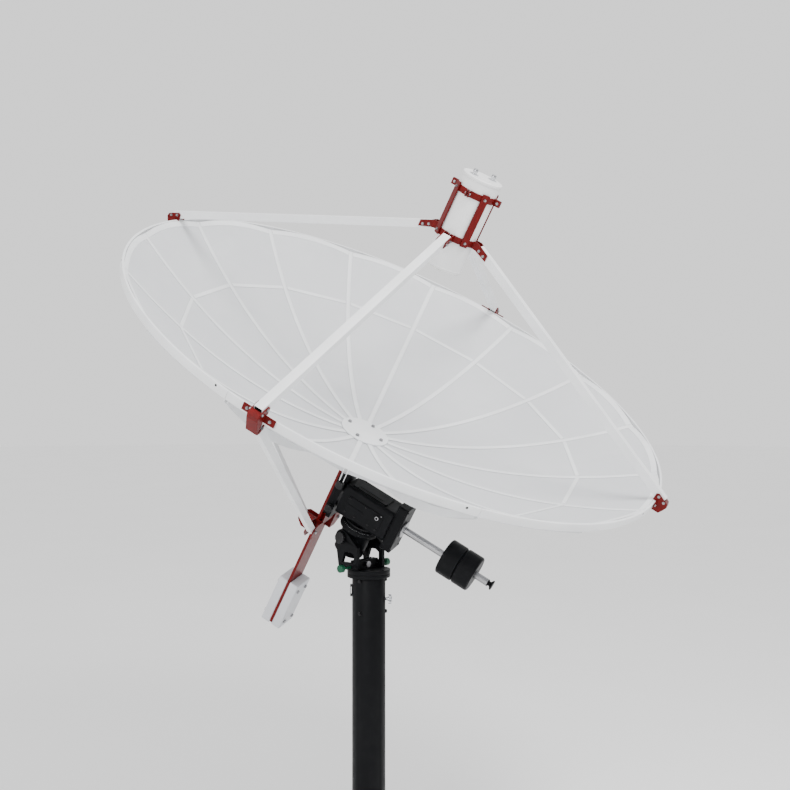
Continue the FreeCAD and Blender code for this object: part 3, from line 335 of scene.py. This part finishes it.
MOTOR_END = 174


class Shape:
    """The points and faces of one piece, gathered from turned and extruded shapes in millimetres."""

    def __init__(self):
        self.points = []
        self.faces = []

    def add(self, points, faces, place):
        first = len(self.points)
        self.points += [place @ (Vector(point) * MM) for point in points]
        self.faces += [[first + index for index in face] for face in faces]

    def lathe(self, profile, place, segments=20):
        """Turn (radius, height) points about Z; a ring closes on itself, a solid ends on the axis."""
        points, rows = [], []
        for radius, height in profile:
            if radius == 0:
                rows.append([len(points)] * segments)
                points.append((0, 0, height))
                continue
            rows.append(list(range(len(points), len(points) + segments)))
            for step in range(segments):
                angle = 2 * math.pi * step / segments
                points.append((radius * math.cos(angle), radius * math.sin(angle), height))
        ring = profile[0][0] > 0
        pairs = list(zip(rows, rows[1:] + rows[:1])) if ring else list(zip(rows, rows[1:]))
        faces = []
        for row, above in pairs:
            for step in range(segments):
                following = (step + 1) % segments
                corners = [row[step], row[following], above[following], above[step]]
                face = list(dict.fromkeys(corners))
                if len(face) > 2:
                    faces.append(face)
        self.add(points, faces, place)

    def prism(self, outline, low, high, place):
        count = len(outline)
        points = [(x, y, low) for x, y in outline] + [(x, y, high) for x, y in outline]
        faces = [list(range(count))[::-1], list(range(count, 2 * count))]
        for side in range(count):
            following = (side + 1) % count
            faces.append([side, following, count + following, count + side])
        self.add(points, faces, place)

    def make(self, name, body, slot, bevel=0.0):
        mesh = bpy.data.meshes.new(name)
        mesh.from_pydata(self.points, [], self.faces)
        work = bmesh.new()
        work.from_mesh(mesh)
        bmesh.ops.recalc_face_normals(work, faces=work.faces)
        for face in work.faces:
            face.smooth = True
        for edge in work.edges:
            edge.smooth = len(edge.link_faces) == 2 and edge.calc_face_angle() < math.radians(38)
        work.to_mesh(mesh)
        work.free()
        piece = bpy.data.objects.new(name, mesh)
        bpy.context.scene.collection.objects.link(piece)
        mesh.materials.append(materials[slot])
        if bevel:
            soften(piece, bevel)
        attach(piece, body)
        return piece


def rounded(half_x, half_y, corner, middle=(0, 0), steps=5):
    """A rectangle's outline with rounded corners, about its middle."""
    outline = []
    for quarter, (sign_x, sign_y) in enumerate(((1, 1), (-1, 1), (-1, -1), (1, -1))):
        for step in range(steps + 1):
            angle = math.pi / 2 * (quarter + step / steps)
            outline.append((sign_x * (half_x - corner) + corner * math.cos(angle) + middle[0],
                            sign_y * (half_y - corner) + corner * math.sin(angle) + middle[1]))
    return outline


def shifted(x, y, z):
    return Matrix.Translation(Vector((x, y, z)) * MM)


def spot(base, place, direction=(0, 0, 1)):
    """A frame at a place, whose Z points in this direction."""
    facing = Vector(direction).to_track_quat("Z", "Y").to_matrix().to_4x4()
    return base @ shifted(*place) @ facing


def spoke(azimuth):
    return DISH @ turned("Z", azimuth)


def socket_screw(shape, place, radius, height, segments=20):
    """A cap screw with its round socket."""
    shape.lathe([(0, height * 0.45), (radius * 0.52, height * 0.45), (radius * 0.52, height),
                 (radius * 0.86, height), (radius, height * 0.82), (radius, 0), (0, 0)],
                place, segments)


def domed_screw(shape, place, radius, height, segments=12):
    shape.lathe([(0, height), (radius * 0.45, height * 0.94), (radius * 0.80, height * 0.62),
                 (radius, 0), (0, 0)], place, segments)


def hexagon_bolt(shape, place, across, height, washer):
    """A hexagon head with a chamfered top, on its washer."""
    low = 1.8
    top = height + low
    shape.lathe([(0, low), (washer, low), (washer, 0), (0, 0)], place, 24)
    reach = across / math.sqrt(3)
    shape.lathe([(0, top), (reach * 0.90, top), (reach, top - 0.9), (reach, low), (0, low)], place, 6)


# ---------------------------------------------------------------- pier details

def make_pier_details():
    """Anchor bolts through the base plate, and the column's weld beads."""
    anchors = Shape()
    for angle in QUARTERS:
        place = spot(turned("Z", angle + 45), (ANCHOR_CIRCLE, 0, 0))
        anchors.lathe([(0, 46), (5.5, 46), (8, 43), (8, 0), (0, 0)], place, 20)
        anchors.lathe([(8, 16), (16, 16), (16, 19), (8, 19)], place, 28)
        anchors.lathe([(8, 19), (13.8, 19.8), (13.8, 31.2), (12.6, 32), (8, 32)], place, 6)
        for turn_number in range(5):
            height = 33.5 + 1.9 * turn_number
            anchors.lathe([(7.9, height), (8.6, height + 0.5), (7.9, height + 1.0)], place, 20)
    anchors.make("anchor_bolts", "pier", "zinc_steel")

    welds = Shape()
    root = PIER_RADIUS + 0.5
    round_seam = [(root * math.cos(angle), root * math.sin(angle), PLATE_TOP + 1.5)
                  for angle in circle_steps(72)]
    bead(welds, round_seam, 3.2, Matrix.Identity(4), closed=True)
    for angle in QUARTERS:
        here = turned("Z", angle)
        for side in (-4.2, 4.2):
            bead(welds, [(root, side, 22 + 8.3 * step) for step in range(21)], 2.6, here)
            bead(welds, [(74 + 8.8 * step, side, PLATE_TOP + 1) for step in range(13)], 2.6, here)
    welds.make("pier_welds", "pier", "black_paint")


def circle_steps(count):
    return [2 * math.pi * step / count for step in range(count)]


def bead(shape, path, radius, place, closed=False):
    """A weld bead: a tube along a path, swelling a little at each ripple."""
    sides = 8
    count = len(path)
    points, faces = [], []
    for index, centre in enumerate(path):
        before = Vector(path[index - 1] if index or closed else path[0])
        after = Vector(path[(index + 1) % count] if index < count - 1 or closed else path[-1])
        turn = (after - before).normalized().to_track_quat("Z", "Y")
        swell = radius * (1.0 + 0.16 * math.sin(2.4 * index) + 0.06 * math.sin(5.1 * index))
        for angle in circle_steps(sides):
            points.append(Vector(centre) + turn @ Vector((swell * math.cos(angle),
                                                          swell * math.sin(angle), 0)))
    for index in range(count if closed else count - 1):
        for side in range(sides):
            here, there = index * sides, (index + 1) % count * sides
            following = (side + 1) % sides
            faces.append([here + side, here + following, there + following, there + side])
    if not closed:
        faces.append(list(range(sides))[::-1])
        faces.append(list(range((count - 1) * sides, count * sides)))
    shape.add(points, faces, place)


# ---------------------------------------------------------------- mount details

def make_base_details():
    """Cap screws in the cheeks, the cross block and the azimuth disc."""
    screws = Shape()
    for side in (-1, 1):
        for y in (-80, 4):
            place = spot(MOUNT, (CHEEK_FACE * side, y, DISC_TOP + 13), (side, 0, 0))
            socket_screw(screws, place, 6, 5)
        for y in (-34, -16):
            socket_screw(screws, spot(MOUNT, (46 * side, y, DISC_TOP + 38)), 4, 3.5)
    for angle in (90, 270):
        socket_screw(screws, spot(MOUNT @ turned("Z", angle), (82, 0, DISC_TOP)), 4, 3)
    screws.make("cheek_screws", "azimuth_base", "dark_steel")


def make_polar_details():
    """Ticks in the lid's groove, a long one every fifteen degrees, and screws below them."""
    polar = MOUNT @ turned("X", LATITUDE - 90)
    ticks = Shape()
    groove, low = DRUM_RADIUS - 3, -86.4
    mark = [(groove - 0.1, -0.35), (groove + 0.5, -0.35), (groove + 0.5, 0.35), (groove - 0.1, 0.35)]
    for step in range(72):
        height = 2.2 if step % 3 == 0 else 1.4
        ticks.prism(mark, low, low + height, polar @ turned("Z", 5 * step))
    ticks.make("setting_circle_ticks", "polar_unit", "white_paint")
    lid = Shape()
    for angle in range(15, 375, 30):
        place = spot(polar @ turned("Z", angle), (DRUM_RADIUS, 0, -100), (1, 0, 0))
        domed_screw(lid, place, 3.4, 1.6)
    lid.make("polar_lid_screws", "polar_unit", "dark_steel")


def make_head_details():
    """Cover plates, screws and the clamp's port on the declination housing; the motor box's lips."""
    covers = Shape()
    for side in (-1, 1):
        face = DEC @ shifted(HEAD_SIDE * side, 0, 0) @ turned("Y", 90 * side)
        for outline, low, high in ((rounded(86, 40, 9, (8, 4)), 0, 3.2),
                                   (rounded(40, 5, 4.5, (-30, 4)), 3.2, 5.0),
                                   (rounded(15, 15, 14.5, (70, -14)), 3.2, 5.6)):
            covers.prism([(-side * z, y) for z, y in outline], low, high, face)
    top = DEC @ shifted(0, -HEAD_SIDE, 0) @ turned("X", 90)
    for outline, low, high in ((rounded(84, 47, 10, (6, 0)), 0, 5),
                               (rounded(60, 30, 8, (6, 0)), 5, 7)):
        covers.prism([(x, -z) for z, x in outline], low, high, top)
    covers.make("housing_covers", "head", "black_paint", bevel=0.0008)

    fittings = Shape()
    for side in (-1, 1):
        for z, y in ((-68, -28), (-68, 36), (84, 36), (46, 36), (-20, 36), (10, -30)):
            socket_screw(fittings, spot(DEC, (COVER_FACE * side, y, z), (side, 0, 0)), 4.2, 3.0)
    for z in (-66, 78):
        for x in (-38, 38):
            socket_screw(fittings, spot(DEC, (x, -HEAD_SIDE - 5, z), (0, -1, 0)), 4.2, 3.0)
    for x in (-44, 44):
        for y in (-96, 96):
            socket_screw(fittings, spot(DEC, (x, y, MOTOR_END)), 4.2, 3.0)
    fittings.make("housing_screws", "head", "dark_steel")

    bright = Shape()
    for side in (-1, 1):
        place = spot(DEC, ((HEAD_SIDE + 5.6) * side, -14, 70), (side, 0, 0))
        bright.lathe([(5.5, 0), (8.5, 0), (8.5, 1.6), (7.7, 2.2), (5.5, 2.2)], place, 28)
        domed_screw(bright, spot(DEC, (COVER_FACE * side, -31, 84), (side, 0, 0)), 2.6, 1.4)
    bright.make("clamp_port_rings", "head", "bare_steel")

    lip = Shape()
    lip.prism(rounded(56.2, 108.2, 10.8), 131, 134, DEC)
    lip.prism(rounded(56.2, 108.2, 10.8), 166, 168, DEC)
    lip.make("motor_cover_lips", "head", "black_paint", bevel=0.0004)

    knurl = Shape()
    outline = []
    teeth = 72
    for step in range(teeth):
        for turn_part, radius in ((0.0, 35.4), (0.3, 36.5), (0.6, 36.5)):
            angle = 2 * math.pi * (step + turn_part) / teeth
            outline.append((radius * math.cos(angle), radius * math.sin(angle)))
    knurl.prism(outline, MOTOR_END + 1.2, MOTOR_END + 7, DEC)
    knurl.make("lock_ring_knurl", "head", "bare_steel")


# ---------------------------------------------------------------- dish details

def rise(reach, focal):
    return reach ** 2 / (4 * focal)


def make_petal_screws():
    """Small domed screws along the seam caps and on the ring bars."""
    screws = Shape()
    for rib in range(PETALS):
        here = spoke(RIB_TURN + PETAL_TURN * rib)
        for step in range(11):
            reach = 150 + 94 * step
            slope = reach / (2 * FOCAL_LENGTH)
            place = spot(here, (reach, 0, rise(reach, FOCAL_LENGTH) + CAP_FACE), (-slope, 0, 1))
            domed_screw(screws, place, 3.6, 1.7, 10)
    half = math.pi / PETALS
    flat_focal = FOCAL_LENGTH * math.cos(half) ** 2
    middle = PETAL_SPLIT * math.cos(half)
    slope = middle / (2 * flat_focal)
    for petal in range(PETALS):
        here = spoke(RIB_TURN + PETAL_TURN * (petal + 0.5))
        for y in (-135, -45, 45, 135):
            place = spot(here, (middle, y, rise(middle, flat_focal) + BAR_FACE), (-slope, 0, 1))
            domed_screw(screws, place, 3.4, 1.6, 10)
    screws.make("petal_screws", "dish", "white_paint")


def make_rim_details():
    """Rivets on both sides of each rim seam, and a black plug in the hole beside it."""
    rivets, plugs = Shape(), Shape()
    for seam in range(RIM_SEGMENTS):
        start = RIB_TURN - PETAL_TURN + 360 / RIM_SEGMENTS * seam
        for step in (-1.6, -0.8, 0.8, 1.6):
            for height in (378, 394):
                place = spot(spoke(start + step), (RIM_FACE, 0, height), (1, 0, 0))
                domed_screw(rivets, place, 3.0, 1.1, 10)
        place = spot(spoke(start - 2.5), (RIM_FACE, 0, 392), (1, 0, 0))
        domed_screw(plugs, place, 4.6, 0.9, 16)
    rivets.make("rim_rivets", "dish", "white_paint")
    plugs.make("rim_hole_plugs", "dish", "black_knob")


def make_hub_bolts():
    """Bolts behind the hub drum's flange and through the two angles on the spine."""
    bolts = Shape()
    for angle in QUARTERS:
        place = spot(spoke(angle + 45), (104, 0, HUB_BACK), (0, 0, -1))
        hexagon_bolt(bolts, place, across=13, height=6, washer=9)
    for x in (-36, 36):
        for side in (1, -1):
            place = spot(DISH, (x, SPINE_SHIFT + 10 * side, HUB_BACK - 28), (0, side, 0))
            hexagon_bolt(bolts, place, across=13, height=6, washer=9)
    bolts.make("hub_bolts", "dish", "zinc_steel")


def make_tube_plugs():
    """Black plastic plugs that close both ends of every strut and brace."""
    plugs = Shape()
    runs = [(azimuth, STRUT_OUTER, STRUT_INNER, 14, 13.6) for azimuth in QUARTERS]
    for azimuth, inner in BRACE_INNER_REACH.items():
        drop = (BRACE_OUTER[0] - inner) * BRACE_SLOPE
        runs.append((azimuth, BRACE_OUTER, (inner, BRACE_OUTER[1] - drop), 8, 11.6))
    for azimuth, outer, inner, overrun, half in runs:
        near, far = Vector((outer[0], 0, outer[1])), Vector((inner[0], 0, inner[1]))
        ahead = (far - near).normalized()
        for end, heading in ((near, -ahead), (far, ahead)):
            place = spot(spoke(azimuth), end + heading * overrun, heading)
            plugs.prism(rounded(half, half, 2), -14, -1.0, place)
    plugs.make("tube_plugs", "dish", "black_knob")


def make_feed_details():
    """Screws and a rolled bead on the feed can, and the connectors' threads and screws."""
    screws = Shape()
    for angle in range(15, 375, 45):
        domed_screw(screws, spot(spoke(angle), (79.3, 0, FEED_TOP - 6.5), (1, 0, 0)), 2.8, 1.3)
    screws.lathe([(77.8, 793), (79.2, 794), (79.2, 797), (77.8, 798)], DISH, 96)
    screws.make("feed_cap_screws", "feed", "feed_white")
    threads = Shape()
    heading = math.radians(CONNECTOR_SIDE)
    for offset in (-CONNECTOR_OFFSET, CONNECTOR_OFFSET):
        centre = DISH @ shifted(offset * math.cos(heading), offset * math.sin(heading), FEED_TOP)
        for turn_number in range(4):
            height = 17.2 + 1.1 * turn_number
            threads.lathe([(7.9, height), (8.6, height + 0.35), (7.9, height + 0.7)], centre, 28)
        for sign_x, sign_y in ((1, 1), (-1, 1), (-1, -1), (1, -1)):
            place = spot(centre @ turned("Z", CONNECTOR_SIDE), (9.2 * sign_x, 9.2 * sign_y, 3))
            domed_screw(threads, place, 1.7, 1.0, 10)
    threads.make("connector_threads", "feed", "zinc_steel")


# ---------------------------------------------------------------- stage, lights and camera

CAMERA_PLACE = Vector((3.41636, 3.27094, 1.96559))
CAMERA_AHEAD = Vector((-0.738256, -0.674520, -0.000732))
LENS = 51.227
FLOOR_RADIUS = 40.0


def make_camera():
    data = bpy.data.cameras.new("camera")
    data.lens = LENS
    data.sensor_width = 36.0
    camera = bpy.data.objects.new("camera", data)
    bpy.context.scene.collection.objects.link(camera)
    camera.location = CAMERA_PLACE
    camera.rotation_euler = CAMERA_AHEAD.to_track_quat("-Z", "Y").to_euler()
    bpy.context.scene.camera = camera


def make_light(name, place, aim, side, watts):
    data = bpy.data.lights.new(name, "AREA")
    data.size = side
    data.energy = watts
    light = bpy.data.objects.new(name, data)
    bpy.context.scene.collection.objects.link(light)
    light.location = place
    light.rotation_euler = (Vector(aim) - Vector(place)).to_track_quat("-Z", "Y").to_euler()


def make_stage():
    """A white sky, two soft lights and a pale round floor."""
    world = bpy.data.worlds.new("studio")
    world.use_nodes = True
    world.node_tree.nodes["Background"].inputs["Color"].default_value = (1.0, 1.0, 1.0, 1.0)
    world.node_tree.nodes["Background"].inputs["Strength"].default_value = 1.25
    bpy.context.scene.world = world
    make_light("key", (0.5, 3.5, 5.5), (0, 0, 1.6), 2.2, 240)
    make_light("fill", (5.5, 1.0, 3.6), (0, 0, 1.5), 2.6, 120)

    mesh = bpy.data.meshes.new("floor")
    shape = bmesh.new()
    bmesh.ops.create_circle(shape, cap_ends=True, radius=FLOOR_RADIUS, segments=96)
    shape.to_mesh(mesh)
    shape.free()
    floor = bpy.data.objects.new("floor", mesh)
    bpy.context.scene.collection.objects.link(floor)
    pale = Nodes("pale_floor")
    tone = pale.ramp(pale.noise(0.8, 3.0), 0.3, 0.7)
    pale.link(pale.mix(tone, (0.95, 0.95, 0.95), (0.97, 0.97, 0.97)), pale.shader.inputs["Base Color"])
    pale.set(Roughness=0.8)
    mesh.materials.append(pale.material)


# ---------------------------------------------------------------- build

materials = make_materials()
dress_parts(materials)
make_pier_details()
make_base_details()
make_polar_details()
make_head_details()
make_petal_screws()
make_rim_details()
make_hub_bolts()
make_tube_plugs()
make_feed_details()
make_stage()
make_camera()
